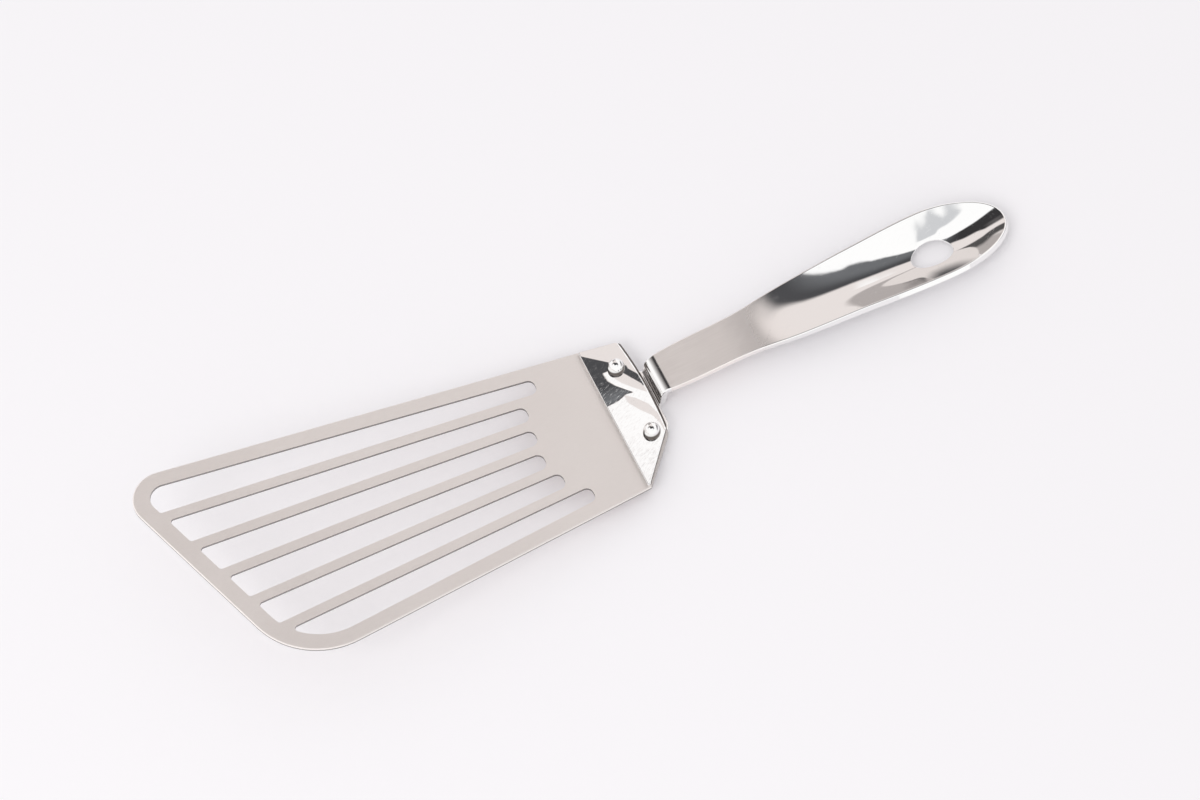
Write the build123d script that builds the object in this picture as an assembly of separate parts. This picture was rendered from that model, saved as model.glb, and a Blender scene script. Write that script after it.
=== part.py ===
import math
import os

from build123d import *

# Fish spatula: slotted sheet blade, riveted clamp, pressed trough handle.
# Modelled with the blade level: X runs from the blade to the handle, Y to the long
# side of the blade, zero at the clamp's front edge, on the handle's middle line and on
# the blade's upper face. The whole is tipped on to its heel at the end.

# Blade
blade_sheet = 1.0
blade_middle_y = -6.7
blade_width_at_clamp = 58.8
long_flare_angle = 6.3
short_flare_angle = 5.9
lead_reach = 150.8
lead_skew_angle = 20.66
long_corner_radius = 10.5
short_corner_radius = 28.0
lead_bevel = 0.4

# Slots
outer_bar_width = 5.35
inner_bar_width = 3.55
front_border = 5.9
slot_back_reaches = [18.5, 25.3, 26.4, 27.4, 24.6, 17.6]
slot_back_radius_share = 0.43
slot_front_radius = 1.2

# Clamp
cover_sheet = 1.5
cover_depth = 16.3
cover_crown_y = -2.5
cover_crown_radius = 155.0
cover_side_inset = 0.8
cover_edge_round = 0.45
cover_far_radius = 2.3
cover_near_radius = 4.5
near_cut_start = 1.2
near_cut_angle = 49.7
flange_depth = 17.4
flange_crown_y = -11.0
flange_crown_radius = 250.0
flange_far_radius = 3.5
flange_near_radius = 5.5
flange_front_inset = 1.0

# Rivets
rivet_long_reach = 9.4
rivet_long_side_inset = 10.8
rivet_short_reach = 10.0
rivet_short_side_inset = 17.9
rivet_head_diameter = 6.05
rivet_head_height = 3.8
rivet_head_round = 1.85
rivet_shank_diameter = 3.4
rivet_tail_diameter = 5.0
rivet_tail_height = 0.7
rivet_tail_chamfer = 0.3

# Handle
handle_sheet = 2.5
riser_rise = 7.65
riser_angle = 85.0
heel_bend_radius = 1.5
neck_bend_radius = 3.0
strip_slope_angle = 8.8
strip_length = 37.5
foot_half_width = 7.2
foot_fillet_radius = 1.6
handle_tip_reach = 152.2
handle_half_width = 13.4
trough_depth = 7.0
trough_round_reach = 5.0
hole_tip_distance = 27.8
hole_length = 15.3
hole_width = 9.9
hole_side_shift = 0.9

# Clearances and the overrun of every cut
shank_clearance = 0.05
overrun = 6.0

# Outline of the handle: place from the neck to the tip, and half width
outline_place_shares = [0.05, 0.16, 0.26, 0.34, 0.43, 0.57, 0.70]
outline_width_shares = [0.582, 0.604, 0.638, 0.738, 0.813, 0.895, 0.975]
widest_place_share = 0.79

# Trough: place from the strip's end to the tip, dip of its bottom line below the
# strip's level, and depth below its rim
trough_place_shares = [0.0, 0.09, 0.21, 0.38, 0.5, 0.6, 0.7, 0.8, 0.9, 1.0, 1.08]
trough_dip_shares = [0.0, 0.06, 0.275, 0.58, 0.835, 1.02, 1.135, 1.175, 1.06, 0.75, 0.51]
trough_depth_shares = [0.0, 0.105, 0.4, 0.74, 0.89, 0.98, 1.0, 0.965, 0.845, 0.73, 0.7]
trough_sections = 28
trough_lead_sections = 4


def flare_slope(side):
    """Slope of the long side's edge (1) or of the short side's edge (-1)."""
    return math.tan(math.radians(long_flare_angle if side > 0 else short_flare_angle))


def side_y(side, x, inset=0.0):
    """Y of a flared side edge at x, less an inset square to the edge."""
    slope = flare_slope(side)
    half = blade_width_at_clamp / 2 - x * slope - inset * math.hypot(1, slope)
    return blade_middle_y + side * half


def lead_x(y, inset=0.0):
    """Place of the skewed leading edge at y, less an inset square to it."""
    skew = math.radians(lead_skew_angle)
    return -lead_reach - y * math.tan(skew) + inset / math.cos(skew)


def lead_corner(side, inset_side, inset_lead):
    """Where the leading edge meets a side edge, each moved in by its inset."""
    flare = side * flare_slope(side)
    skew = math.tan(math.radians(lead_skew_angle))
    root = side_y(side, 0, inset_side)
    x = (lead_x(0, inset_lead) - skew * root) / (1 - skew * flare)
    return (x, root - flare * x)


def side_point(side, x, inset=0.0):
    """Point on a side edge of the blade."""
    return (x, side_y(side, x, inset))


def nearest_corner(face, place):
    """The corner of a face that lies nearest to a place."""
    return face.vertices().sort_by_distance(Vector(*place))[0]


def round_corner(face, place, radius):
    """Round the corner of a face that lies nearest to a place."""
    return fillet(nearest_corner(face, place), radius)


def clamp_outline(inset, front, crown, far_radius, near_radius):
    """Outline shared by the blade's tail, the cover plate and the flange."""
    cut = math.radians(near_cut_angle)
    start = side_point(-1, near_cut_start, inset)
    run = crown[0] - near_cut_start + overrun
    cut_end = (start[0] + run, start[1] + run * math.tan(cut))
    outline = make_face(
        Polyline(
            side_point(-1, front, inset),
            start,
            cut_end,
            side_point(1, cut_end[0], inset),
            side_point(1, front, inset),
            close=True,
        )
    )
    outline = outline & Pos(crown[0] - crown[2], crown[1]) * Circle(crown[2])
    near_corner, far_corner = outline.vertices().sort_by(Axis.X)[-2:].sort_by(Axis.Y)
    outline = fillet(near_corner, near_radius)
    return round_corner(outline, (far_corner.X, far_corner.Y), far_radius)


def cover_outline(inset):
    """Outline of the cover plate, or with no inset of the blade's tail."""
    crown = (cover_depth, cover_crown_y, cover_crown_radius)
    return clamp_outline(inset, 0, crown, cover_far_radius, cover_near_radius)


def slot_edges(x):
    """Y of both edges of each slot at x, from the long side to the short side."""
    top = side_y(1, x, outer_bar_width)
    count = len(slot_back_reaches)
    bars = (count - 1) * inner_bar_width
    width = (top - side_y(-1, x, outer_bar_width) - bars) / count
    edges = []
    for _ in range(count):
        edges.append((top, top - width))
        top = top - width - inner_bar_width
    return edges


def slot_window():
    """The blade's outline moved in by its bars, which bounds all the slots."""
    long_corner = lead_corner(1, outer_bar_width, front_border)
    short_corner = lead_corner(-1, outer_bar_width, front_border)
    window = make_face(
        Polyline(
            side_point(1, 0, outer_bar_width),
            long_corner,
            short_corner,
            side_point(-1, 0, outer_bar_width),
            close=True,
        )
    )
    window = round_corner(window, long_corner, long_corner_radius - outer_bar_width)
    return round_corner(window, short_corner, short_corner_radius - outer_bar_width)


def slots():
    """Six slots that widen to the front, each with its own back end."""
    window = slot_window()
    front = lead_x(0) - blade_width_at_clamp
    front_edges = slot_edges(front)
    cut = []
    for index, reach in enumerate(slot_back_reaches):
        back = slot_edges(-reach)[index]
        back_radius = slot_back_radius_share * (back[0] - back[1])
        slot = make_face(
            Polyline(
                (-reach, back[0]),
                (front, front_edges[index][0]),
                (front, front_edges[index][1]),
                (-reach, back[1]),
                close=True,
            )
        )
        slot = slot & window
        ahead = -reach - back_radius
        sharp = [v for v in slot.vertices() if v.X < ahead and on_inner_bar(v, index)]
        slot = fillet(sharp, slot_front_radius)
        slot = round_corner(slot, (-reach, back[0]), back_radius)
        slot = round_corner(slot, (-reach, back[1]), back_radius)
        cut.append(slot)
    return cut


def on_inner_bar(vertex, index):
    """True where a slot's front corner lies against an inner bar."""
    edges = slot_edges(vertex.X)[index]
    by_far = index > 0 and abs(vertex.Y - edges[0]) < lead_bevel
    by_near = index < len(slot_back_reaches) - 1 and abs(vertex.Y - edges[1]) < lead_bevel
    return by_far or by_near


def rivet_places():
    """Places of both rivets, each set in from its side of the clamp."""
    long_side = side_point(1, rivet_long_reach, rivet_long_side_inset)
    short_side = side_point(-1, rivet_short_reach, rivet_short_side_inset)
    return (long_side, short_side)


def shank_holes():
    """Through holes of the rivets."""
    radius = rivet_shank_diameter / 2 + shank_clearance
    hole = Cylinder(radius, 2 * (cover_sheet + blade_sheet + handle_sheet) + overrun)
    return [Pos(*place) * hole for place in rivet_places()]


def make_blade():
    """Flared sheet blade with a skewed leading edge, slots and a tail in the clamp."""
    long_corner = lead_corner(1, 0, 0)
    short_corner = lead_corner(-1, 0, 0)
    front = make_face(
        Polyline(
            side_point(1, 0),
            long_corner,
            short_corner,
            side_point(-1, 0),
            close=True,
        )
    )
    front = round_corner(front, long_corner, long_corner_radius)
    front = round_corner(front, short_corner, short_corner_radius)
    outline = front + cover_outline(0)
    for slot in slots():
        outline = outline - slot
    blade = extrude(outline, blade_sheet, dir=(0, 0, -1))
    rim = blade.edges().filter_by_position(Axis.Z, 0, 0)
    lead = rim.filter_by(lambda e: (e @ 0.5).X < lead_x((e @ 0.5).Y, front_border / 2))
    blade = chamfer(lead, lead_bevel)
    for hole in shank_holes():
        blade = blade - hole
    return blade


def make_cover():
    """Clamp plate on the blade's tail."""
    cover = extrude(cover_outline(cover_side_inset), cover_sheet)
    cover = fillet(cover.faces().sort_by(Axis.Z)[-1].edges(), cover_edge_round)
    for hole in shank_holes():
        cover = cover - hole
    return cover


def strip_path(extra=0.0):
    """Corners of the sheet's middle line: flange, heel, neck and the strip's end."""
    level = -blade_sheet - handle_sheet / 2
    rise = math.radians(riser_angle)
    slope = math.radians(strip_slope_angle)
    heel_x = flange_depth + heel_bend_radius * math.tan(rise / 2)
    neck_x = heel_x + riser_rise / math.tan(rise)
    neck_z = level + riser_rise
    end_x = neck_x + (strip_length + extra) * math.cos(slope)
    end_z = neck_z + (strip_length + extra) * math.sin(slope)
    return [(cover_depth / 2, level), (heel_x, level), (neck_x, neck_z), (end_x, end_z)]


def strip_end():
    """Upper face of the flat strip where the pressed trough begins."""
    slope = math.radians(strip_slope_angle)
    x, z = strip_path()[-1]
    half = handle_sheet / 2
    return (x - half * math.sin(slope), z + half * math.cos(slope))


def smooth_share(place, places, values):
    """Value at a place of a table of shares, with an even curve between its rows."""
    row = max(i for i in range(len(places) - 1) if places[i] <= place or i == 0)
    step = places[row + 1] - places[row]
    part = max(place - places[row], 0) / step
    slopes = []
    for i in (row, row + 1):
        before = max(i - 1, 0)
        after = min(i + 1, len(places) - 1)
        slope = (values[after] - values[before]) / (places[after] - places[before])
        slopes.append(0 if i == 0 else slope)
    rise = values[row + 1] - values[row]
    bend = 3 * rise - (2 * slopes[0] + slopes[1]) * step
    curl = (slopes[0] + slopes[1]) * step - 2 * rise
    return values[row] + slopes[0] * step * part + bend * part**2 + curl * part**3


def trough_line(place):
    """X, height of the trough's bottom line, and its depth, at a share of its length."""
    x, level = strip_end()
    run = place * (handle_tip_reach - x)
    level = level + run * math.tan(math.radians(strip_slope_angle))
    dip = trough_depth * smooth_share(place, trough_place_shares, trough_dip_shares)
    depth = trough_depth * smooth_share(place, trough_place_shares, trough_depth_shares)
    return (x + run, level - dip, depth)


def trough_section(place):
    """One cross-section of the handle's upper face, flat or hollow."""
    x, bottom, depth = trough_line(place)
    reach = handle_half_width + overrun
    slope = depth / (math.hypot(handle_half_width, trough_round_reach) - trough_round_reach)
    span = math.hypot(reach, trough_round_reach)
    rise_share = 1 - trough_round_reach / span
    drop_share = (reach / span) ** 2
    top = bottom + slope * span * rise_share
    curve = Bezier(
        (x, -reach, top),
        (x, 0, top - slope * span * drop_share),
        (x, reach, top),
        weights=[1, rise_share / (drop_share - rise_share), 1],
    )
    return Wire(curve.edges())


def handle_plan():
    """Plan outline of the handle behind the neck: strip, wide grip, rounded end."""
    neck_x = strip_path()[2][0]
    run = handle_tip_reach - neck_x
    widest_x = neck_x + widest_place_share * run
    sides = []
    for side in (1, -1):
        points = [(cover_depth, side * foot_half_width)]
        for place, width in zip(outline_place_shares, outline_width_shares):
            points.append((neck_x + place * run, side * width * handle_half_width))
        points.append((widest_x, side * handle_half_width))
        sides.append(Spline(points, tangents=[(1, 0), (1, 0)]))
    end = EllipticalCenterArc(
        (widest_x, 0),
        handle_tip_reach - widest_x,
        handle_half_width,
        start_angle=-90,
        arc_size=180,
    )
    back = Line(sides[0] @ 0, sides[1] @ 0)
    return make_face(sides[0] + sides[1] + end + back)


def flange_outline():
    """Plan outline of the flange under the blade."""
    return clamp_outline(
        cover_side_inset,
        flange_front_inset,
        (flange_depth, flange_crown_y, flange_crown_radius),
        flange_far_radius,
        flange_near_radius,
    )


def blank_plan():
    """Flange and handle outlines as one blank, inner corners rounded, hole punched."""
    blank = flange_outline() + handle_plan()
    inner = [
        nearest_corner(blank, (flange_depth, side * foot_half_width)) for side in (1, -1)
    ]
    blank = fillet(inner, foot_fillet_radius)
    hole = Ellipse(hole_length / 2, hole_width / 2)
    return blank - Pos(handle_tip_reach - hole_tip_distance, -hole_side_shift) * hole


def between(start, end):
    """Block that keeps what lies between two places along the handle."""
    block = Box(end - start, 2 * handle_tip_reach, 2 * handle_tip_reach)
    return Pos((start + end) / 2, 0, 0) * block


def pressed_sheet(plan):
    """Spoon-like trough: one lofted face, trimmed to the plan and thickened."""
    last = trough_place_shares[-1]
    sections = [
        trough_section(index * last / (trough_sections - 1))
        for index in range(-trough_lead_sections, trough_sections)
    ]
    surface = Shell.make_loft(sections).faces()[0]
    start = strip_end()[0]
    end = handle_tip_reach + overrun
    prism = extrude(plan, handle_tip_reach, both=True) & between(start - overrun, end)
    trimmed = (surface & prism).faces()[0]
    pressed = Solid.thicken(trimmed, -handle_sheet, normal_override=(0, 0, 1))
    return pressed & between(start, end)


def bent_strip(plan):
    """Bent neck and flat strip behind the flange."""
    bends = [heel_bend_radius, neck_bend_radius]
    path = FilletPolyline(*strip_path(overrun), radius=bends)
    side = Plane.XZ * trace(path, handle_sheet)
    bent = extrude(side, blade_width_at_clamp / 2, both=True)
    prism = extrude(plan, handle_tip_reach, both=True)
    return bent & prism & between(cover_depth, strip_end()[0])


def make_handle():
    """Flange under the blade, riser, strip and trough in one bent sheet."""
    plan = blank_plan()
    flange = extrude(flange_outline(), handle_sheet, dir=(0, 0, -1))
    flange = Pos(0, 0, -blade_sheet) * flange
    handle = flange + bent_strip(plan) + pressed_sheet(plan)
    for shank_hole in shank_holes():
        handle = handle - shank_hole
    return handle


def make_rivet(place):
    """Solid rivet: tall domed head on the cover, low peened tail under the flange."""
    stack = cover_sheet + blade_sheet + handle_sheet
    head = Pos(0, 0, cover_sheet + rivet_head_height / 2) * Cylinder(
        rivet_head_diameter / 2, rivet_head_height
    )
    head = fillet(head.edges().sort_by(Axis.Z)[-1], rivet_head_round)
    shank = Pos(0, 0, cover_sheet - stack / 2) * Cylinder(rivet_shank_diameter / 2, stack)
    tail = Pos(0, 0, cover_sheet - stack - rivet_tail_height / 2) * Cylinder(
        rivet_tail_diameter / 2, rivet_tail_height
    )
    tail = chamfer(tail.edges().sort_by(Axis.Z)[0], rivet_tail_chamfer)
    return Pos(*place) * (head + shank + tail)


def rest_angle():
    """Tilt that sets the object down on its heel and the handle's end."""
    outer = heel_bend_radius + handle_sheet / 2
    heel_x = flange_depth
    heel_z = outer - blade_sheet - handle_sheet
    angles = []
    for index in range(trough_sections * trough_sections):
        x, z, _ = trough_line(index / trough_sections**2)
        run = x - heel_x
        rise = z - handle_sheet - heel_z
        reach = math.hypot(run, rise)
        angles.append(math.atan2(rise, run) + math.asin(outer / reach))
    return math.degrees(min(angles))


if __name__ == "__main__":
    os.makedirs("parts", exist_ok=True)
    parts = {
        "blade": make_blade(),
        "cover_plate": make_cover(),
        "handle": make_handle(),
        "rivet_long_side": make_rivet(rivet_places()[0]),
        "rivet_short_side": make_rivet(rivet_places()[1]),
    }
    tipped = Rot(0, rest_angle(), 0)
    box = Compound([tipped * solid for solid in parts.values()]).bounding_box()
    place = Pos(-box.center().X, -box.center().Y, -box.min.Z) * tipped
    print("tilt", rest_angle(), "origin", place.position)
    for name, solid in parts.items():
        placed = place * solid
        export_step(placed, f"parts/{name}.step")
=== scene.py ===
import math

import bpy
import numpy as np
from mathutils import Matrix, Vector
from mathutils.geometry import delaunay_2d_cdt


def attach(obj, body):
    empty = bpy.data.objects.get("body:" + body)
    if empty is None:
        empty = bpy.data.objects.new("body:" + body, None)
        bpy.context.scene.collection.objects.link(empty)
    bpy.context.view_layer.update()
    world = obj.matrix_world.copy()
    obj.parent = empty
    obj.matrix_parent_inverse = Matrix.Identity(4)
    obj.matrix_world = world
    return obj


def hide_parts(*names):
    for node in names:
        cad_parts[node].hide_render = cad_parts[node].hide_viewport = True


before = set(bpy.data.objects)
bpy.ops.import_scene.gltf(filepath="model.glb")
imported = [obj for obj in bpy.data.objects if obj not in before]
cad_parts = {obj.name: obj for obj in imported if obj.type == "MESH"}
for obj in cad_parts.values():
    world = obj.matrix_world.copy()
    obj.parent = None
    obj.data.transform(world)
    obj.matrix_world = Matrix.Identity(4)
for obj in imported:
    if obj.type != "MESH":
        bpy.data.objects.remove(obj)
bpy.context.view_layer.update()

# Camera as in the photograph: place in metres, lens and sensor in millimetres
CAMERA_PLACE = Vector((-0.09307, -0.53487, 1.06236))
CAMERA_FORWARD = Vector((0.079764, 0.454650, -0.887096))
CAMERA_RIGHT = Vector((0.899611, -0.416130, -0.132389))
LENS = 104.184
SENSOR = 36
NEAREST = 0.01


def make_camera():
    """Camera at the photograph's viewing angle."""
    data = bpy.data.cameras.new("camera")
    data.sensor_width = SENSOR
    data.lens = LENS
    data.clip_start = NEAREST
    camera = bpy.data.objects.new("camera", data)
    bpy.context.collection.objects.link(camera)
    right = CAMERA_RIGHT.normalized()
    back = -CAMERA_FORWARD.normalized()
    up = back.cross(right)
    turn = Matrix((right, up, back)).transposed()
    camera.matrix_world = Matrix.Translation(CAMERA_PLACE) @ turn.to_4x4()
    bpy.context.scene.camera = camera


# How the level blade's frame stands at rest, in radians and millimetres
MILLIMETRE = 0.001
TILT = math.radians(8.371695238)
ORIGIN = Vector((2.51368, 4.21659, 6.03986))

# Blade and the sides that the clamp shares with it, in millimetres in the level blade's frame
BLADE_SHEET = 1.0
BLADE_MIDDLE_Y = -6.7
BLADE_WIDTH = 58.8
LONG_FLARE = math.radians(6.3)
SHORT_FLARE = math.radians(5.9)
SIDE_INSET = 0.8
NEAR_CUT_START = 1.2
NEAR_CUT = math.radians(49.7)

# Cover plate
COVER_SHEET = 1.5
COVER_DEPTH = 16.3
COVER_CROWN_Y = -2.5
COVER_CROWN_RADIUS = 155.0
COVER_CORNER = 0.2
COVER_NEAR_ROUND = 4.5
COVER_FAR_ROUND = 2.3

# Handle: flange, riser, strip, grip, trough and hole
SHEET = 2.5
FLANGE_DEPTH = 17.4
FLANGE_CROWN_Y = -11.0
FLANGE_CROWN_RADIUS = 250.0
FLANGE_FRONT = 1.0
FLANGE_CORNER = 0.3
FLANGE_NEAR_ROUND = 5.5
FLANGE_FAR_ROUND = 3.5
RISE = 7.65
RISER = math.radians(85.0)
BENDS = [1.5, 3.0]
SLOPE = math.radians(8.8)
STRIP_LENGTH = 37.5
FOOT_HALF = 7.2
FOOT_ROUND = 1.6
TIP = 152.2
HALF_WIDTH = 13.4
DEPTH = 7.0
ROUND_REACH = 5.0
HOLE_BACK = 27.8
HOLE_LENGTH = 15.3
HOLE_WIDTH = 9.9
HOLE_SHIFT = 0.9
OUTLINE_PLACES = [0.05, 0.16, 0.26, 0.34, 0.43, 0.57, 0.70]
OUTLINE_WIDTHS = [0.582, 0.604, 0.638, 0.738, 0.813, 0.895, 0.975]
WIDEST_PLACE = 0.79
TROUGH_PLACES = [0.0, 0.09, 0.21, 0.38, 0.5, 0.6, 0.7, 0.8, 0.9, 1.0, 1.08]
TROUGH_DIPS = [0.0, 0.06, 0.275, 0.58, 0.835, 1.02, 1.135, 1.175, 1.06, 0.75, 0.51]
TROUGH_DEPTHS = [0.0, 0.105, 0.4, 0.74, 0.89, 0.98, 1.0, 0.965, 0.845, 0.73, 0.7]

# Fine meshes: rounded rims, steps of the outlines and rows of the grids
RIM_ROUNDS = [0.55, 0.2]
COVER_RIM = 0.3
RIM_STEPS = 4
RIM_CLEARANCE = 0.3
RIM_PROBE = 0.02
WELD = 1e-7
SMALL = 0.01
STRAIGHT = 1.56
ARC_STEP = 0.35
HANDLE_STEP = 0.5
COVER_STEP = 0.3
GRIP_START = 19.5
TIP_REACH = 12
TIP_STEPS = 60
HOLE_STEPS = 90
CROWN_STEPS = 24
FLANGE_ROWS = (1.5, 16, 1.5)
BEND_ROWS = (16.5, 32, 0.25)
STRIP_STEP = 1.2
STRIP_MARGIN = 1
TROUGH_MARGIN = 0.5
TROUGH_STEP = 0.7
HANDLE_ACROSS = (-38, 24, 0.75)
COVER_ROWS = (0.2, 17, 0.4)
COVER_ACROSS = (-36, 23, 0.4)

# Shading: a slightly flatter near wall of the trough and the plate's rolled rear edge
NEAR_WALL_EASE = 0.21
NEAR_WALL = (3, 10)
NEAR_WALL_END = (114, 124)
ROLL_REACH = 1.1
ROLL_SLOPE = 1.3

# Rivets: reach from the plate's front edge, inset from the blade's side
RIVETS = {"rivet_long_side": (9.4, 10.8), "rivet_short_side": (10.0, 17.9)}
HEAD_RADIUS = 3.025
HEAD_HEIGHT = 3.8
HEAD_FULLNESS = 2.15
SHANK_RADIUS = 1.7
TAIL_RADIUS = 2.5
TAIL_HEIGHT = 0.7
TAIL_CHAMFER = 0.3
RIVET_SIDES = 48
HEAD_STEPS = 22
CHAMFER_STEPS = 6

# Outlines in the cover plate's uneven face: places against distances, in millimetres
GAP_SIDE = ([-2, -0.5, 0.6, 3.1, 6.2, 8.8, 10.4, 11.2, 20], [13.5, 11.7, 10, 8, 5.7, 5, 5.2, 8.6, 9])
GAP_FLOOR = ([0, 4.4, 8.1, 11.7, 13.5], [-1.9, -1.4, -0.1, -0.5, -2.2])
SECOND_GAP = ([1.5, 5.7, 8.9], [16.2, 13.6, 11.5])
CREST = ([-2, 1.2, 4.5, 7.2, 10.3], [13.5, 10.3, 7.4, 5.9, 5.6])
FOLD_TOP = ([7.4, 10.5, 13.5, 15.1, 15.4, 16], [-0.4, -3.0, -6.8, -12.4, -17.4, -26])
FOLD_FOOT = ([7.4, 9.9, 12.9, 13.9, 14.3, 15], [-3.6, -7.6, -11.4, -14.9, -19.9, -28])
FOLD_START = 7.4
SOFT_EDGE = 0.4
GAP_END = 20.2
GAP_SKEW = 0.8
SECOND_GAP_SPAN = (0.5, 10.5)
SECOND_GAP_LINE = (1.2, 0.8)
CREST_SPAN = (-4, 10.6)
CREST_LINE = (1.0, 0.75)
GAP_TILT = 0.165
GAP_TILT_MORE = 0.22
GAP_TILT_RISE = (-7.5, 1.5)
GAP_TILT_END = 13
LIT_TILT = 0.07

# Colours
STEEL = (0.92, 0.915, 0.91, 1)
# Painted shade: near-black steel colour painted on the plate's rolled rear edge and round the rivets'
# foot, in place of dark reflection and shade
PAINTED_SHADE_STEEL = (0.13, 0.11, 0.10, 1)
SATIN_DARK = (0.91, 0.855, 0.825, 1)
SATIN_LIGHT = (1.0, 0.955, 0.93, 1)
# Side walls of the blade: partly the rough sheared cut's own tone, partly painted shade along its edges
SHEARED_AND_SHADE_DARK = (0.20, 0.19, 0.185, 1)
SHEARED_AND_SHADE_LIGHT = (0.42, 0.40, 0.39, 1)
BACKDROP = (0.93, 0.92, 0.94, 1)
LEVEL_LIGHT = (0.885, 0.872, 0.875, 1)
PALE = (0.87, 0.81, 0.79, 1)
FAR_GREY = (0.47, 0.43, 0.42, 1)
FAR_DARK = (0.09, 0.085, 0.085, 1)
SIDE_WHITE = (1.08, 1.07, 1.07, 1)
NEAR_WHITE = (1.08, 1.08, 1.08, 1)
NEAR_GREY = (0.66, 0.67, 0.69, 1)
GAP_NEAR = (0.165, 0.170, 0.180, 1)
GAP_FAR = (0.075, 0.075, 0.080, 1)
GAP_LEFT = (0.040, 0.038, 0.040, 1)
ROOM = (0.055, 0.055, 0.060, 1)

# Noise in the steel: how fine it is along and across, per metre
GRAIN = (140, 2600, 2600)
HAIRLINES = (35, 2600, 2600)
RUBBED = (240, 3600, 3600)
SATIN_CLOUD = (28, 28, 28)
CLOUD = (45, 45, 45)

# Painted shade on edges: the part of the normal that it follows, and from where to where; on the plate a
# painted dark reflection on the rolled rear edge, on the rivets painted shade at the foot of the head
PLATE_PAINTED_SHADE = ("X", 0.35, 0.6)
RIVET_PAINTED_SHADE = ("Z", 0.40, 0.22)

# Satin strip of the handle: where it starts and where it fades out, in metres
SATIN_START = (0.0246, 0.0252)
SATIN_FADE = (0.084, 0.046)

# Studio that the steel shows, by stereographic place: across is right and ahead is away
FAR_EDGE = (0.69, 0.75)
FAR_SHIFT = (0.13, 0.17, 0.0, 0.07)
LOOP_LEAN = (0.61, 0.74, 0.02)
LOOP_ACROSS = (-0.10, 0.165, 0.02)
SPOT_AHEAD = (0.85, 0.91, 0.02)
SPOT_ACROSS = (0.225, 0.30, 0.015)
LOWEST = -0.5
SIDE_EDGE = 0.28
SIDE_SOFT = (0.02, -0.02)
SIDE_NOTCH = (0.17, 0.50, 0.04)
SIDE_NOTCH_DEPTH = 0.045
SIDE_LEVEL = (0.19, 0.46, 0.05)
SIDE_START = (-0.165, -0.125)
SIDE_SLOW_START = (-0.52, -0.08, 0.0, 1.0, "LINEAR")
GAP_TOP = (0.03, 0.075, 0.275, 0.195)
GAP_TOP_LEFT = (-0.02, -0.08, 0.0, 0.08)
GAP_TOP_RIGHT = (0.14, 0.22, 0.0, 0.06)
GAP_TOP_SOFT = 0.05
GAP_SHADE = (0.07, -0.14)
GAP_LEFT_END = (0.03, 0.09)
NEAR_EDGE = (0.087, 0.206, -0.074, -0.223, "LINEAR")
NEAR_EDGE_SOFT = 0.015
PATCH_INNER = -0.262
PATCH_INNER_LEAN = 0.2
PATCH_INNER_STEP = (0.118, 0.134, 0.0, -0.03)
PATCH_SOFT = (-0.008, 0.008)
PATCH_OUTER = (-0.243, -0.227)
PATCH_OUTER_LEAN = 0.92
PATCH_END = (0.158, 0.150)
ROOM_ACROSS = (0.70, 0.78)
ROOM_AHEAD = (-0.6, 0.45, 0.1)

# Floor and lamp, in metres and watts
FLOOR_SIZE = 8
LAMP_SIZE = 0.9
LAMP_ENERGY = 4.3
LAMP_PLACE = (-0.9, -0.5, 1.2)


def rest_pose():
    """Matrix from millimetres in the level blade's frame to metres at rest."""
    turn = Matrix.Rotation(TILT, 4, "Y")
    return Matrix.Scale(MILLIMETRE, 4) @ Matrix.Translation(ORIGIN) @ turn


def sheet_corners():
    """Corners of the sheet's middle line: flange, heel, neck and the strip's end."""
    level = -BLADE_SHEET - SHEET / 2
    heel = FLANGE_DEPTH + BENDS[0] * math.tan(RISER / 2)
    neck = heel + RISE / math.tan(RISER)
    top = level + RISE
    end = (neck + STRIP_LENGTH * math.cos(SLOPE), top + STRIP_LENGTH * math.sin(SLOPE))
    return np.array([(0, level), (heel, level), (neck, top), end])


def smooth(value, low, high):
    """Soft step from nought to one between two places."""
    t = np.clip((value - low) / (high - low), 0, 1)
    return t * t * (3 - 2 * t)


def spline(xs, ys, first, last):
    """Even curve through points, with its slope given at both ends."""
    xs = np.array(xs)
    ys = np.array(ys)
    step = np.diff(xs)
    slope = np.diff(ys) / step
    count = len(xs)
    system = np.eye(count)
    side = np.zeros(count)
    side[0] = first
    side[-1] = last
    for i in range(1, count - 1):
        system[i, i - 1:i + 2] = (step[i], 2 * (step[i] + step[i - 1]), step[i - 1])
        side[i] = 3 * (step[i] * slope[i - 1] + step[i - 1] * slope[i])
    ends = np.linalg.solve(system, side)

    def curve(x):
        i = np.clip(np.searchsorted(xs, x) - 1, 0, count - 2)
        t = (x - xs[i]) / step[i]
        rise = (1 + 2 * t) * (1 - t) ** 2 * ys[i] + t ** 2 * (3 - 2 * t) * ys[i + 1]
        return rise + step[i] * (t * (1 - t) ** 2 * ends[i] - t ** 2 * (1 - t) * ends[i + 1])

    return curve


def smooth_table(places, values):
    """Even curve through a table of shares, level at its first row."""
    slopes = [0.0]
    for i in range(1, len(places)):
        after = min(i + 1, len(places) - 1)
        slopes.append((values[after] - values[i - 1]) / (places[after] - places[i - 1]))
    places = np.array(places)
    values = np.array(values)
    slopes = np.array(slopes)

    def curve(place):
        place = np.maximum(place, 0)
        i = np.clip(np.searchsorted(places, place) - 1, 0, len(places) - 2)
        step = places[i + 1] - places[i]
        t = (place - places[i]) / step
        rise = (1 + 2 * t) * (1 - t) ** 2 * values[i] + t ** 2 * (3 - 2 * t) * values[i + 1]
        return rise + step * (t * (1 - t) ** 2 * slopes[i] - t ** 2 * (1 - t) * slopes[i + 1])

    return curve


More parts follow.
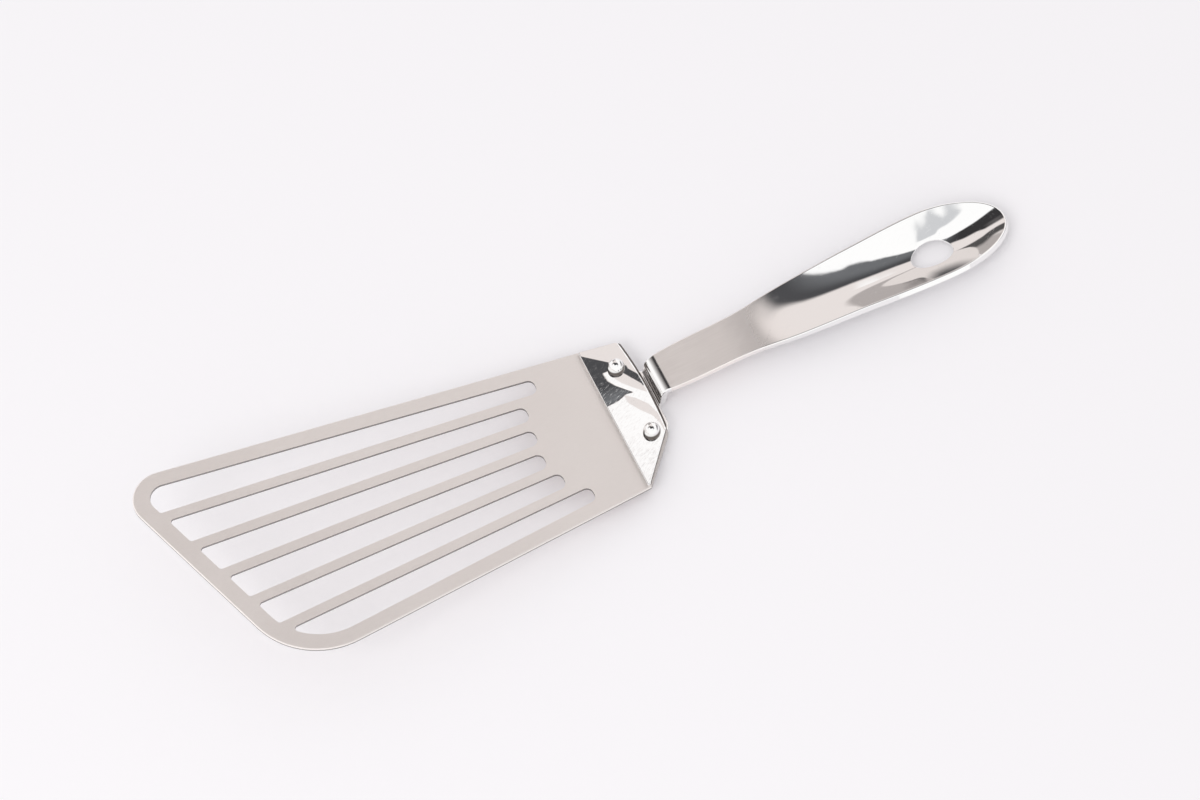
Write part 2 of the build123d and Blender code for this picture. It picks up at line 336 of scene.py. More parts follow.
class Sheet:
    """The handle's sheet, laid out flat: q runs along it and y across it."""

    def __init__(self):
        corners = sheet_corners()
        self.pieces = []
        headings = [0.0, RISER, SLOPE]
        place = corners[0]
        total = 0.0
        for i in range(3):
            turn = headings[i + 1] - headings[i] if i < 2 else 0.0
            bend = BENDS[i] if i < 2 else 0.0
            cut = bend * abs(math.tan(turn / 2))
            end = corners[i + 1] - cut * np.array([math.cos(headings[i]), math.sin(headings[i])])
            run = float(np.linalg.norm(end - place))
            self.pieces.append((total, place, headings[i], 0.0))
            total += run
            if turn:
                self.pieces.append((total, end, headings[i], math.copysign(1 / bend, turn)))
                total += bend * abs(turn)
                after = np.array([math.cos(headings[i + 1]), math.sin(headings[i + 1])])
                place = corners[i + 1] + cut * after
        self.strip_end = total
        self.starts = np.array([piece[0] for piece in self.pieces])
        normal = np.array([-math.sin(SLOPE), math.cos(SLOPE)])
        self.trough_start = corners[3] + SHEET / 2 * normal
        self.run = TIP - self.trough_start[0]
        self.dip = smooth_table(TROUGH_PLACES, TROUGH_DIPS)
        self.depth = smooth_table(TROUGH_PLACES, TROUGH_DEPTHS)
        neck = corners[2][0]
        self.widest = neck + WIDEST_PLACE * (TIP - neck)
        xs = [COVER_DEPTH] + [neck + p * (TIP - neck) for p in OUTLINE_PLACES] + [self.widest]
        ys = [FOOT_HALF] + [w * HALF_WIDTH for w in OUTLINE_WIDTHS] + [HALF_WIDTH]
        self.side = spline(xs, ys, 0, 0)
        self.tip = self.strip_end + self.run / math.cos(SLOPE)

    def path(self, q):
        """Middle line of the sheet and its heading at q, up to the strip's end."""
        i = np.clip(np.searchsorted(self.starts, q, side="right") - 1, 0, len(self.pieces) - 1)
        x = np.zeros_like(q)
        z = np.zeros_like(q)
        heading = np.zeros_like(q)
        for index, (start, place, angle, bend) in enumerate(self.pieces):
            chosen = i == index
            run = q[chosen] - start
            if bend:
                turn = run * bend
                x[chosen] = place[0] + (np.sin(angle + turn) - math.sin(angle)) / bend
                z[chosen] = place[1] + (math.cos(angle) - np.cos(angle + turn)) / bend
                heading[chosen] = angle + turn
            else:
                x[chosen] = place[0] + run * math.cos(angle)
                z[chosen] = place[1] + run * math.sin(angle)
                heading[chosen] = angle
        return x, z, heading

    def height(self, x, y):
        """Height of the upper face in the trough."""
        place = (x - self.trough_start[0]) / self.run
        level = self.trough_start[1] + (x - self.trough_start[0]) * math.tan(SLOPE)
        rise = np.hypot(y, ROUND_REACH) - ROUND_REACH
        full = math.hypot(HALF_WIDTH, ROUND_REACH) - ROUND_REACH
        return level - DEPTH * self.dip(place) + DEPTH * self.depth(place) * rise / full

    def surface(self, q, y, eased=False):
        """Points of the upper face and their normals."""
        points = np.zeros((len(q), 3))
        normals = np.zeros((len(q), 3))
        flat = q < self.strip_end
        x, z, heading = self.path(q[flat])
        normals[flat] = np.stack([-np.sin(heading), np.zeros_like(x), np.cos(heading)], 1)
        points[flat] = np.stack([x, y[flat], z], 1) + SHEET / 2 * normals[flat]
        deep = ~flat
        x = self.trough_start[0] + (q[deep] - self.strip_end) * math.cos(SLOPE)
        y = y[deep]
        points[deep] = np.stack([x, y, self.height(x, y)], 1)
        along = (self.height(x + SMALL, y) - self.height(x - SMALL, y)) / (2 * SMALL)
        across = (self.height(x, y + SMALL) - self.height(x, y - SMALL)) / (2 * SMALL)
        if eased:
            wall = smooth(-y, *NEAR_WALL) * (1 - smooth(x, *NEAR_WALL_END))
            across = across * (1 - NEAR_WALL_EASE * wall)
        steep = np.stack([-along, -across, np.ones_like(x)], 1)
        normals[deep] = steep / np.linalg.norm(steep, axis=1)[:, None]
        return points, normals

    def facing(self, q, y):
        """Normals that the upper face is shaded with: a little flatter on the near wall."""
        return self.surface(q, y, True)[1]

    def x_of(self, q):
        """Place along the level blade's frame of the upper face at q."""
        return self.surface(q, np.zeros_like(q))[0][:, 0]

    def half(self, q):
        """Half width of the handle at q."""
        x = self.x_of(q)
        end = np.clip((x - self.widest) / (TIP - self.widest), 0, 1)
        return np.where(x < self.widest, self.side(x), HALF_WIDTH * np.sqrt(1 - end ** 2))


def rounded(corners):
    """Closed outline through corners with their radii, as dense points."""
    outline = []
    count = len(corners)
    for i in range(count):
        before, here, after = (np.array(corners[(i + k) % count][:2]) for k in (-1, 0, 1))
        radius = corners[i][2]
        back = (before - here) / np.linalg.norm(before - here)
        ahead = (after - here) / np.linalg.norm(after - here)
        half = math.acos(np.clip(back @ ahead, -1, 1)) / 2
        if radius == 0 or half > STRAIGHT:
            outline.append(here)
            continue
        cut = radius / math.tan(half)
        middle = (back + ahead) / np.linalg.norm(back + ahead)
        centre = here + middle * radius / math.sin(half)
        start = here + back * cut - centre
        end = here + ahead * cut - centre
        angle = math.atan2(start[0] * end[1] - start[1] * end[0], start @ end)
        parts = max(int(abs(angle) * radius / ARC_STEP), 3)
        for k in range(parts + 1):
            turn = angle * k / parts
            c = math.cos(turn)
            s = math.sin(turn)
            outline.append(centre + np.array([c * start[0] - s * start[1], s * start[0] + c * start[1]]))
    return np.array(outline)


def resample(loop, step):
    """Points of a closed outline at even steps."""
    closed = np.vstack([loop, loop[:1]])
    length = np.concatenate([[0], np.cumsum(np.linalg.norm(np.diff(closed, axis=0), axis=1))])
    count = int(length[-1] / step)
    at = np.arange(count) * length[-1] / count
    return np.stack([np.interp(at, length, closed[:, k]) for k in (0, 1)], 1)


def outward(loop):
    """Unit normals of a closed outline that runs counter-clockwise."""
    ahead = np.roll(loop, -1, axis=0) - np.roll(loop, 1, axis=0)
    normals = np.stack([ahead[:, 1], -ahead[:, 0]], 1)
    return normals / np.linalg.norm(normals, axis=1)[:, None]


def inside(points, loop):
    """True for the points that lie inside a closed outline."""
    x = points[:, 0:1]
    y = points[:, 1:2]
    x0 = loop[:, 0]
    y0 = loop[:, 1]
    x1 = np.roll(x0, -1)
    y1 = np.roll(y0, -1)
    crosses = (y0 > y) != (y1 > y)
    at = x0 + (y - y0) * (x1 - x0) / np.where(y1 == y0, 1, y1 - y0)
    return (np.sum(crosses & (x < at), axis=1) % 2) == 1


class Clamp:
    """Outline that the cover plate and the flange share, with their own crowns."""

    def __init__(self, depth, crown_y, crown_radius):
        self.depth = depth
        self.crown_y = crown_y
        self.crown_radius = crown_radius

    def near(self, x):
        """Side nearer the camera, at a reach from the plate's front edge."""
        return BLADE_MIDDLE_Y - BLADE_WIDTH / 2 + SIDE_INSET + x * math.tan(SHORT_FLARE)

    def far(self, x):
        """Side farther from the camera."""
        return BLADE_MIDDLE_Y + BLADE_WIDTH / 2 - SIDE_INSET - x * math.tan(LONG_FLARE)

    def crown(self, y):
        """Reach of the bowed rear edge."""
        return self.depth - (y - self.crown_y) ** 2 / (2 * self.crown_radius)

    def near_cut(self):
        """Where the slanted cut meets the rear edge."""
        return self.near(NEAR_CUT_START) + (self.depth - NEAR_CUT_START) * math.tan(NEAR_CUT)


def handle_loop(sheet):
    """Outline of the flange, strip and grip, laid out flat."""
    clamp = Clamp(FLANGE_DEPTH, FLANGE_CROWN_Y, FLANGE_CROWN_RADIUS)
    cut_y = clamp.near_cut()
    far = clamp.far(FLANGE_DEPTH)
    qs = np.arange(GRIP_START, sheet.tip - TIP_REACH, HANDLE_STEP)
    ends = qs[-1] + (sheet.tip - qs[-1]) * (1 - np.linspace(1, 0, TIP_STEPS) ** 2)
    qs = np.concatenate([qs, ends[1:]])
    grip = list(zip(qs, sheet.half(qs)))
    corners = [
        (FLANGE_FRONT, clamp.far(FLANGE_FRONT), FLANGE_CORNER),
        (FLANGE_FRONT, clamp.near(FLANGE_FRONT), FLANGE_CORNER),
        (NEAR_CUT_START, clamp.near(NEAR_CUT_START), 0),
        (clamp.crown(cut_y), cut_y, FLANGE_NEAR_ROUND),
        (clamp.crown(-FOOT_HALF), -FOOT_HALF, FOOT_ROUND),
    ]
    corners += [(q, -half, 0) for q, half in grip]
    corners += [(q, half, 0) for q, half in reversed(grip[:-1])]
    corners += [
        (clamp.crown(FOOT_HALF), FOOT_HALF, FOOT_ROUND),
        (clamp.crown(far), far, FLANGE_FAR_ROUND),
    ]
    return resample(rounded(corners), HANDLE_STEP)


def cover_loop():
    """Outline of the cover plate."""
    clamp = Clamp(COVER_DEPTH, COVER_CROWN_Y, COVER_CROWN_RADIUS)
    cut_y = clamp.near_cut()
    far = clamp.far(COVER_DEPTH)
    corners = [
        (0, clamp.far(0), COVER_CORNER),
        (0, clamp.near(0), COVER_CORNER),
        (NEAR_CUT_START, clamp.near(NEAR_CUT_START), 0),
        (clamp.crown(cut_y), cut_y, COVER_NEAR_ROUND),
    ]
    corners += [(clamp.crown(y), y, 0) for y in np.linspace(cut_y, far, CROWN_STEPS)[2:-2]]
    corners.append((clamp.crown(far), far, COVER_FAR_ROUND))
    return resample(rounded(corners), COVER_STEP)


def soft(distance):
    """One inside an outline of the plate's uneven face, and nought outside it."""
    return smooth(distance, -SOFT_EDGE, SOFT_EDGE)


def between(value, low, high):
    """One between two places, with soft ends."""
    return soft(value - low) * soft(high - value)


def line(x, y, table, width, fall):
    """Soft line along a table of places."""
    return soft(width - fall * abs(x - np.interp(y, *table)))


def plate_tilt(x, y):
    """Slow unevenness of the cover plate, as the tilt of its face along and across."""
    floor = np.interp(x, *GAP_FLOOR)
    gap = soft(GAP_END - GAP_SKEW * x - y) * soft(np.interp(y, *GAP_SIDE) - x) * soft(y - floor)
    second = line(x, y, SECOND_GAP, *SECOND_GAP_LINE) * between(y, *SECOND_GAP_SPAN)
    gap = np.maximum(gap, second)
    crest = line(x, y, CREST, *CREST_LINE) * between(y, *CREST_SPAN)
    fold = between(y, np.interp(x, *FOLD_FOOT), np.interp(x, *FOLD_TOP)) * soft(x - FOLD_START)
    lit = np.maximum(crest, soft(floor - y) * (1 - fold))
    depth = GAP_TILT + GAP_TILT_MORE * smooth(-y, *GAP_TILT_RISE) * (x < GAP_TILT_END)
    return LIT_TILT * lit, -depth * gap * (1 - crest)


def hole_loop(sheet):
    """Outline of the hanging hole, laid out flat and run clockwise."""
    centre = sheet.strip_end + (TIP - HOLE_BACK - sheet.trough_start[0]) / math.cos(SLOPE)
    turns = np.linspace(0, -2 * math.pi, HOLE_STEPS, endpoint=False)
    half = HOLE_LENGTH / 2 / math.cos(SLOPE)
    return np.stack([centre + half * np.cos(turns), HOLE_WIDTH / 2 * np.sin(turns) - HOLE_SHIFT], 1)


def fill(rings, grid):
    """Flat points and faces between closed edges, the first of which is the outer one."""
    def within(points):
        kept = inside(points, rings[0])
        for ring in rings[1:]:
            kept &= ~inside(points, ring[::-1])
        return kept

    grid = grid[within(grid)]
    edge = np.vstack(rings)
    gap = np.array([np.min(np.sum((edge - point) ** 2, axis=1)) for point in grid])
    flat = np.vstack([edge, grid[gap > RIM_CLEARANCE ** 2]])
    borders = []
    start = 0
    for ring in rings:
        size = len(ring)
        borders += [(start + i, start + (i + 1) % size) for i in range(size)]
        start += size
    result = delaunay_2d_cdt([Vector(p) for p in flat], borders, [], 0, WELD)
    flat = np.array([tuple(p) for p in result[0]])
    centres = np.array([flat[list(face)].mean(axis=0) for face in result[2]])
    faces = [tuple(face) for face, kept in zip(result[2], within(centres)) if kept]
    return flat, faces


def rim_levels(ring, normal, rim, thickness, surface):
    """Rows of points and normals round a sheet's edge, from its upper to its lower face."""
    base, up = surface(ring[:, 0], ring[:, 1])
    further = ring + RIM_PROBE * normal
    out = surface(further[:, 0], further[:, 1])[0] - base
    out -= np.sum(out * up, axis=1)[:, None] * up
    out /= np.linalg.norm(out, axis=1)[:, None]
    turns = [math.pi / 2 * k / RIM_STEPS for k in range(1, RIM_STEPS + 1)]
    levels = []
    for turn in turns:
        place = base + out * rim * math.sin(turn) - up * rim * (1 - math.cos(turn))
        levels.append((place, out * math.sin(turn) + up * math.cos(turn)))
    for turn in reversed(turns):
        down = thickness - rim * (1 - math.cos(turn))
        place = base + out * rim * math.sin(turn) - up * down
        levels.append((place, out * math.sin(turn) - up * math.cos(turn)))
    return levels


def strip_faces(upper, lower):
    """Faces between two closed rows of points."""
    size = len(upper)
    return [(upper[i], lower[i], lower[(i + 1) % size], upper[(i + 1) % size]) for i in range(size)]


def build_sheet(name, loops, rims, grid, thickness, surface, facing):
    """Sheet between an upper face and its offset, with softly rounded edges."""
    ways = [outward(loop) for loop in loops]
    rings = [loop - rim * way for loop, rim, way in zip(loops, rims, ways)]
    flat, faces = fill(rings, grid)
    top, up = surface(flat[:, 0], flat[:, 1])
    count = len(flat)
    points = [top, top - thickness * up]
    normals = [facing(flat[:, 0], flat[:, 1]), -up]
    polygons = faces + [tuple(count + i for i in reversed(face)) for face in faces]
    total = 2 * count
    start = 0
    for ring, way, rim in zip(rings, ways, rims):
        size = len(ring)
        upper = range(start, start + size)
        for place, turned in rim_levels(ring, way, rim, thickness, surface):
            points.append(place)
            normals.append(turned)
            lower = range(total, total + size)
            polygons += strip_faces(upper, lower)
            upper = lower
            total += size
        polygons += strip_faces(upper, range(count + start, count + start + size))
        start += size
    return build_mesh(name, np.vstack(points), polygons, np.vstack(normals))


def build_mesh(name, points, polygons, normals):
    """Object at rest from points and normals in the level blade's frame."""
    pose = rest_pose()
    turn = np.array(pose.to_3x3())
    points = points @ turn.T + np.array(pose.translation)
    normals = normals @ turn.T / MILLIMETRE
    mesh = bpy.data.meshes.new(name)
    mesh.from_pydata([tuple(p) for p in points], [], polygons)
    mesh.validate()
    for polygon in mesh.polygons:
        polygon.use_smooth = True
    mesh.normals_split_custom_set_from_vertices([tuple(n) for n in normals])
    built = bpy.data.objects.new(name, mesh)
    bpy.context.collection.objects.link(built)
    return built


def build_handle():
    """Handle as one bent and pressed sheet."""
    sheet = Sheet()
    rows = np.concatenate([
        np.arange(*FLANGE_ROWS),
        np.arange(*BEND_ROWS),
        np.arange(BEND_ROWS[1], sheet.strip_end - STRIP_MARGIN, STRIP_STEP),
        np.arange(sheet.strip_end - TROUGH_MARGIN, sheet.tip, TROUGH_STEP),
    ])
    grid = np.array([(q, y) for q in rows for y in np.arange(*HANDLE_ACROSS)])
    loops = [handle_loop(sheet), hole_loop(sheet)]
    return build_sheet("handle_sheet", loops, RIM_ROUNDS, grid, SHEET, sheet.surface, sheet.facing)


def build_cover():
    """Cover plate with a faintly uneven polished face."""
    clamp = Clamp(COVER_DEPTH, COVER_CROWN_Y, COVER_CROWN_RADIUS)

    def surface(x, y):
        points = np.stack([x, y, np.full_like(x, COVER_SHEET)], 1)
        return points, np.tile([0.0, 0.0, 1.0], (len(x), 1))

    def facing(x, y):
        along, across = plate_tilt(x, y)
        along = along + ROLL_SLOPE * smooth(x - clamp.crown(y), -ROLL_REACH, 0)
        normals = np.stack([along, across, np.ones_like(x)], 1)
        return normals / np.linalg.norm(normals, axis=1)[:, None]

    grid = np.array([(x, y) for x in np.arange(*COVER_ROWS) for y in np.arange(*COVER_ACROSS)])
    return build_sheet("cover_sheet", [cover_loop()], [COVER_RIM], grid, COVER_SHEET, surface, facing)


def rivet_profile():
    """Radius, height and slope of a rivet's outline from its crown to its tail."""
    rows = []
    for turn in np.linspace(0, math.pi / 2, HEAD_STEPS):
        radius = HEAD_RADIUS * math.sin(turn) ** (2 / HEAD_FULLNESS)
        height = HEAD_HEIGHT * math.cos(turn) ** (2 / HEAD_FULLNESS)
        out = (radius / HEAD_RADIUS) ** (HEAD_FULLNESS - 1) / HEAD_RADIUS
        up = (height / HEAD_HEIGHT) ** (HEAD_FULLNESS - 1) / HEAD_HEIGHT
        rows.append((radius, COVER_SHEET + height, out, up))
    under = -BLADE_SHEET - SHEET
    rows += [(HEAD_RADIUS, COVER_SHEET, 0, -1), (SHANK_RADIUS, COVER_SHEET, 0, -1)]
    rows += [(SHANK_RADIUS, COVER_SHEET, 1, 0), (SHANK_RADIUS, under, 1, 0)]
    rows += [(SHANK_RADIUS, under, 0, 1), (TAIL_RADIUS, under, 0, 1), (TAIL_RADIUS, under, 1, 0)]
    tail = under - TAIL_HEIGHT
    for turn in np.linspace(0, math.pi / 2, CHAMFER_STEPS):
        reach = TAIL_RADIUS - TAIL_CHAMFER + TAIL_CHAMFER * math.cos(turn)
        height = tail + TAIL_CHAMFER - TAIL_CHAMFER * math.sin(turn)
        rows.append((reach, height, math.cos(turn), -math.sin(turn)))
    rows.append((SMALL, tail, 0, -1))
    return rows


def build_rivet(node, x, inset):
    """One turned rivet with a tall domed head."""
    side = 1 if node == "rivet_long_side" else -1
    flare = math.tan(LONG_FLARE if side > 0 else SHORT_FLARE)
    y = BLADE_MIDDLE_Y + side * (BLADE_WIDTH / 2 - x * flare - inset * math.hypot(1, flare))
    turns = [2 * math.pi * i / RIVET_SIDES for i in range(RIVET_SIDES)]
    points = []
    normals = []
    rows = rivet_profile()
    for radius, height, out, up in rows:
        radius = max(radius, SMALL)
        length = math.hypot(out, up)
        for turn in turns:
            points.append((x + radius * math.cos(turn), y + radius * math.sin(turn), height))
            normals.append((out / length * math.cos(turn), out / length * math.sin(turn), up / length))
    rings = [range(row * RIVET_SIDES, (row + 1) * RIVET_SIDES) for row in range(len(rows))]
    polygons = []
    for upper, lower in zip(rings, rings[1:]):
        polygons += strip_faces(upper, lower)
    polygons.append(tuple(rings[0]))
    polygons.append(tuple(reversed(rings[-1])))
    return build_mesh(node.replace("rivet", "stud"), np.array(points), polygons, np.array(normals))


class Graph:
    """Small helper that joins shader nodes."""

    def __init__(self, tree):
        self.nodes = tree.nodes
        self.links = tree.links

    def feed(self, value, socket):
        """Set or link a socket."""
        if isinstance(value, (int, float, tuple)):
            socket.default_value = value
        else:
            self.links.new(value, socket)

    def place(self, kind):
        """Place or normal from the texture coordinates."""
        return self.nodes.new("ShaderNodeTexCoord").outputs[kind]

    def split(self, vector):
        """The three parts of a vector."""
        node = self.nodes.new("ShaderNodeSeparateXYZ")
        self.links.new(vector, node.inputs[0])
        return node.outputs

    def math(self, kind, first, second=0.0):
        """One sum on one or two values."""
        node = self.nodes.new("ShaderNodeMath")
        node.operation = kind
        self.feed(first, node.inputs[0])
        self.feed(second, node.inputs[1])
        return node.outputs[0]

    def times(self, first, second):
        """Product of two values."""
        return self.math("MULTIPLY", first, second)

    def without(self, value):
        """One less a value."""
        return self.math("SUBTRACT", 1.0, value)

    def ramp(self, value, low, high, start=0.0, end=1.0, kind="SMOOTHSTEP"):
        """Even change from start to end while the value goes from low to high."""
        node = self.nodes.new("ShaderNodeMapRange")
        node.interpolation_type = kind
        for item, socket in zip((value, low, high, start, end), node.inputs):
            self.feed(item, socket)
        return node.outputs[0]

    def edge(self, value, place, width):
        """Step from nought to one at a place, soft over a width on each side."""
        return self.ramp(value, self.math("SUBTRACT", place, width), self.math("ADD", place, width))

    def band(self, value, low, high, width):
        """One between two places, with soft ends."""
        return self.times(self.edge(value, low, width), self.without(self.edge(value, high, width)))

    def mix(self, share, first, second):
        """Second colour by its share over the first."""
        node = self.nodes.new("ShaderNodeMix")
        node.data_type = "RGBA"
        self.feed(share, node.inputs[0])
        self.feed(first, node.inputs[6])
        self.feed(second, node.inputs[7])
        return node.outputs[2]

    def noise(self, place, scale, angle, seed, detail):
        """Noise stretched along a line at an angle to the length of the object."""
        turn = self.nodes.new("ShaderNodeMapping")
        turn.vector_type = "TEXTURE"
        turn.inputs["Rotation"].default_value = (0, 0, angle)
        self.links.new(place, turn.inputs["Vector"])
        stretch = self.nodes.new("ShaderNodeVectorMath")
        stretch.operation = "MULTIPLY_ADD"
        self.links.new(turn.outputs[0], stretch.inputs[0])
        stretch.inputs[1].default_value = scale
        stretch.inputs[2].default_value = (seed, seed, seed)
        node = self.nodes.new("ShaderNodeTexNoise")
        node.inputs["Scale"].default_value = 1.0
        node.inputs["Detail"].default_value = detail
        self.links.new(stretch.outputs[0], node.inputs["Vector"])
        return node.outputs[0]

    def bump(self, shader, height, distance):
        """Fine relief on a shader."""
        node = self.nodes.new("ShaderNodeBump")
        node.inputs["Distance"].default_value = distance
        self.links.new(height, node.inputs["Height"])
        self.links.new(node.outputs[0], shader.inputs["Normal"])


def new_material(name):
    """Bare steel material with its graph, shader and place."""
    material = bpy.data.materials.new(name)
    material.use_nodes = True
    graph = Graph(material.node_tree)
    graph.nodes.clear()
    output = graph.nodes.new("ShaderNodeOutputMaterial")
    shader = graph.nodes.new("ShaderNodeBsdfPrincipled")
    shader.inputs["Metallic"].default_value = 1.0
    shader.inputs["Base Color"].default_value = STEEL
    graph.links.new(shader.outputs[0], output.inputs[0])
    return material, graph, shader, graph.place("Object")


def hairlines(graph, place, angle, low, high, seed):
    """Thin straight scratches that run at an angle over the surface."""
    streaks = graph.noise(place, HAIRLINES, angle, seed, detail=2)
    return graph.ramp(streaks, low, high)


def grain_of(graph, place):
    """Brushed grain of the satin steel."""
    return graph.noise(place, GRAIN, angle=0.0, seed=0.0, detail=3)


def satin():
    """Fine satin steel: brushed grain, cloudy tone and a few rubbed scratches."""
    material, graph, shader, place = new_material("satin_steel")
    grain = grain_of(graph, place)
    cloud = graph.noise(place, SATIN_CLOUD, angle=0.0, seed=7.0, detail=3)
    scratch = hairlines(graph, place, angle=0.5, low=0.68, high=0.74, seed=3.0)
    tone = graph.math("ADD", graph.times(grain, 0.5), graph.times(cloud, 0.5))
    colour = graph.mix(tone, SATIN_DARK, SATIN_LIGHT)
    # Upright faces, the blade's side walls, get a much darker colour: partly the rough sheared cut,
    # partly painted shade
    upright = graph.math("ABSOLUTE", graph.split(graph.place("Normal"))[2])
    sheared_and_shade = graph.mix(grain, SHEARED_AND_SHADE_DARK, SHEARED_AND_SHADE_LIGHT)
    colour = graph.mix(graph.ramp(upright, 0.8, 0.4), colour, sheared_and_shade)
    graph.links.new(colour, shader.inputs["Base Color"])
    rough = graph.ramp(grain, 0.2, 0.8, start=0.46, end=0.56)
    rough = graph.math("ADD", rough, graph.ramp(cloud, 0.3, 0.7, start=-0.03, end=0.03))
    rough = graph.math("SUBTRACT", rough, graph.times(scratch, 0.10))
    graph.links.new(rough, shader.inputs["Roughness"])
    height = graph.math("SUBTRACT", grain, graph.times(scratch, 0.5))
    graph.bump(shader, height, distance=0.000012)
    return material


def rubbed_marks(graph, place, cloud):
    """Roughness of short rubbed marks, in patches."""
    marks = graph.ramp(graph.noise(place, RUBBED, angle=0.5, seed=3.0, detail=2), 0.42, 0.75)
    return graph.times(marks, graph.ramp(cloud, 0.35, 0.6, start=0.15, end=0.30))


def brush_strip(graph, shader, place, rough, height):
    """Satin grain on the handle's strip, which fades out in the trough."""
    along = graph.split(place)[0]
    grain = grain_of(graph, place)
    share = graph.times(graph.ramp(along, *SATIN_START), graph.ramp(along, *SATIN_FADE))
    share = graph.times(share, share)
    colour = graph.mix(share, STEEL, graph.mix(grain, SATIN_DARK, SATIN_LIGHT))
    graph.links.new(colour, shader.inputs["Base Color"])
    brushed = graph.times(share, graph.ramp(grain, 0.2, 0.8, start=0.42, end=0.50))
    relief = graph.times(graph.times(share, grain), 0.00001)
    return graph.math("ADD", rough, brushed), graph.math("ADD", height, relief)


def paint_edge_shade(graph, shader, axis, start, end):
    """Painted shade: dark steel colour where the normal along an axis passes from start to end."""
    edge = graph.ramp(graph.split(graph.place("Normal"))[axis], start, end)
    graph.links.new(graph.mix(edge, STEEL, PAINTED_SHADE_STEEL), shader.inputs["Base Color"])


def polished(name, satin_strip=False, scratched=False, painted_shade_edge=None):
    """Polished steel: hairline scratches, faint haze and a slow waviness."""
    material, graph, shader, place = new_material(name)
    cloud = graph.noise(place, CLOUD, angle=0.0, seed=2.0, detail=3)
    scratch = hairlines(graph, place, angle=0.75, low=0.64, high=0.72, seed=1.0)
    other = hairlines(graph, place, angle=-0.35, low=0.67, high=0.73, seed=5.0)
    scratch = graph.math("MAXIMUM", scratch, graph.times(other, 0.7))
    haze = graph.ramp(cloud, 0.4, 0.75, start=0.035, end=0.075)
    rough = graph.math("ADD", haze, graph.times(scratch, 0.12))
    height = graph.times(cloud, 0.00006)
    if scratched:
        rough = graph.math("ADD", rough, rubbed_marks(graph, place, cloud))
    if satin_strip:
        rough, height = brush_strip(graph, shader, place, rough, height)
    # Painted shade on an edge, where one is given
    if painted_shade_edge is not None:
        paint_edge_shade(graph, shader, *painted_shade_edge)
    graph.links.new(rough, shader.inputs["Roughness"])
    graph.bump(shader, height, distance=1.0)
    return material


def set_material(node, material):
    """Give a CAD node its material."""
    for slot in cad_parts[node].material_slots:
        slot.link = "OBJECT"
        slot.material = material


def make_floor():
    """Plain pale floor."""
    bpy.ops.mesh.primitive_plane_add(size=FLOOR_SIZE, location=(0, 0, 0))
    floor = bpy.context.object
    floor.name = "floor"
    material = bpy.data.materials.new("floor")
    material.use_nodes = True
    nodes = material.node_tree.nodes
    nodes.clear()
    output = nodes.new("ShaderNodeOutputMaterial")
    diffuse = nodes.new("ShaderNodeBsdfDiffuse")
    diffuse.inputs[0].default_value = BACKDROP
    material.node_tree.links.new(diffuse.outputs[0], output.inputs[0])
    floor.data.materials.append(material)


def far_side(graph, across, ahead):
    """Pale far side under a grey top, with a dark looped line and a spot."""
    shifted = graph.math("ADD", ahead, graph.ramp(across, *FAR_SHIFT))
    colour = graph.mix(graph.ramp(shifted, *FAR_EDGE), PALE, FAR_GREY)
    loop = graph.band(graph.math("SUBTRACT", ahead, across), *LOOP_LEAN)
    loop = graph.times(loop, graph.band(across, *LOOP_ACROSS))
    spot = graph.times(graph.band(ahead, *SPOT_AHEAD), graph.band(across, *SPOT_ACROSS))
    return graph.mix(graph.math("MAXIMUM", loop, spot), colour, FAR_DARK)


def middle_share(graph, across, ahead):
    """Share of the middle, between the white sides on the left and on the right."""
    notch = graph.times(graph.band(ahead, *SIDE_NOTCH), SIDE_NOTCH_DEPTH)
    edge = graph.math("SUBTRACT", SIDE_EDGE, notch)
    right = graph.ramp(graph.math("SUBTRACT", across, edge), *SIDE_SOFT)
    slow = graph.ramp(across, *SIDE_SLOW_START)
    left = graph.mix(graph.band(ahead, *SIDE_LEVEL), graph.ramp(across, *SIDE_START), slow)
    return graph.times(right, left)


def dim_gap(graph, across, ahead):
    """Colour of the dim gap overhead and its share."""
    top = graph.ramp(across, *GAP_TOP)
    top = graph.math("ADD", top, graph.ramp(across, *GAP_TOP_LEFT))
    top = graph.math("SUBTRACT", top, graph.ramp(across, *GAP_TOP_RIGHT))
    shade = graph.mix(graph.ramp(ahead, *GAP_SHADE), GAP_FAR, GAP_NEAR)
    dark = graph.mix(graph.ramp(across, *GAP_LEFT_END), GAP_LEFT, shade)
    return dark, graph.without(graph.edge(ahead, top, GAP_TOP_SOFT))


def near_light(graph, across, ahead):
    """White light on the near side with one grey patch."""
    inner = graph.math("SUBTRACT", PATCH_INNER, graph.times(across, PATCH_INNER_LEAN))
    inner = graph.math("SUBTRACT", inner, graph.ramp(across, *PATCH_INNER_STEP))
    outer = graph.math("ADD", ahead, graph.times(across, PATCH_OUTER_LEAN))
    patch = graph.without(graph.ramp(graph.math("SUBTRACT", ahead, inner), *PATCH_SOFT))
    patch = graph.times(patch, graph.ramp(outer, *PATCH_OUTER))
    patch = graph.times(patch, graph.ramp(across, *PATCH_END))
    return graph.mix(patch, NEAR_WHITE, NEAR_GREY)


